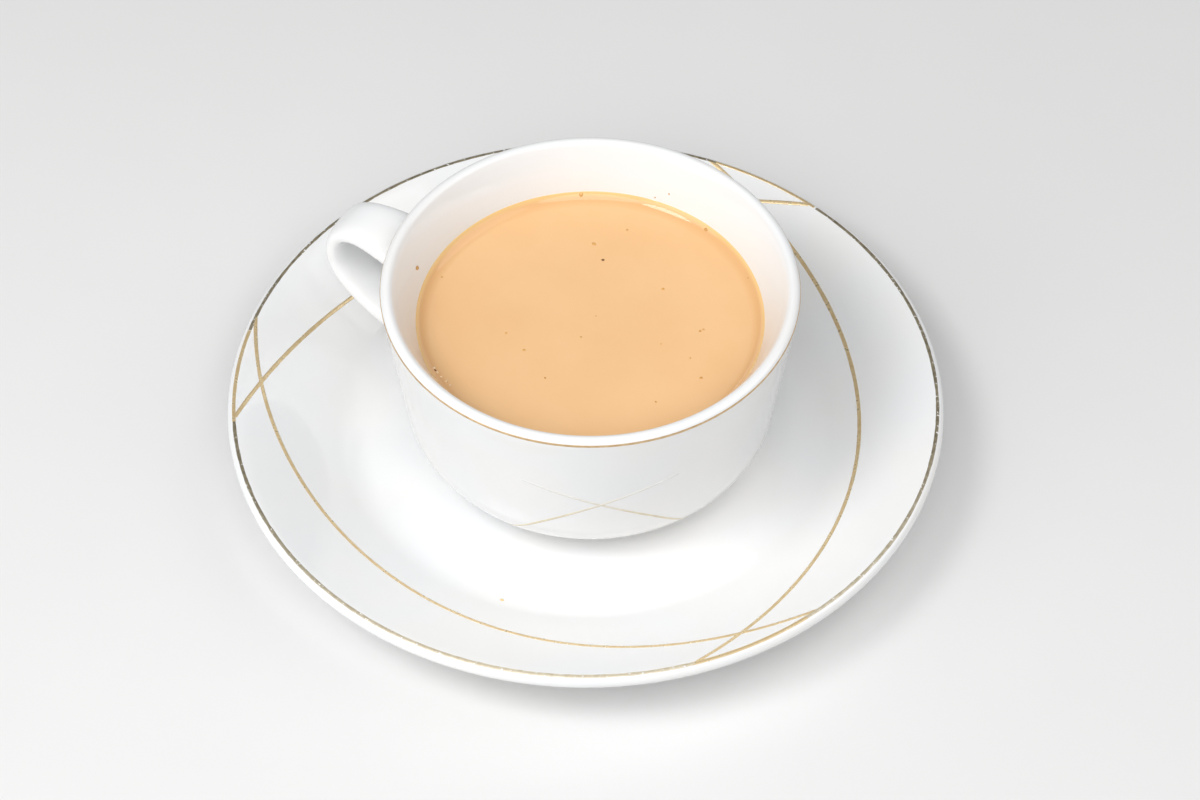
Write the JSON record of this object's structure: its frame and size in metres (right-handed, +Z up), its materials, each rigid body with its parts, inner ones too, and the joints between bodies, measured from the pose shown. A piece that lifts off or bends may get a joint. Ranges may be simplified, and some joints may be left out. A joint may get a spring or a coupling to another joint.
{
  "type": "cup of tea with milk on a saucer",
  "caption": "Thick-walled porcelain teacup with a strap handle, filled with milky tea and standing in the well of its sloping saucer.",
  "frame": {"origin": "the middle of the saucer's foot, on the surface it stands on", "axes": "+Z up; the cup's handle points along -X; +Y completes a right-handed frame, to the left of the handle's line seen from the cup"},
  "size_m": [0.1528, 0.1528, 0.0522],
  "materials": {
    "porcelain": "white glazed porcelain, smooth and glossy",
    "gilding": "hair-thin burnt-on gold lines, worn to olive brown on the saucer's rim and bright on its arcs",
    "milky_tea": "opaque peach-tan tea with milk, wet and glossy, with a few dark leaf specks and a darker edge"
  },
  "bodies": {
    "root": {"saucer": "porcelain", "cup": "porcelain", "tea": "milky_tea"}
  },
  "joints": []
}
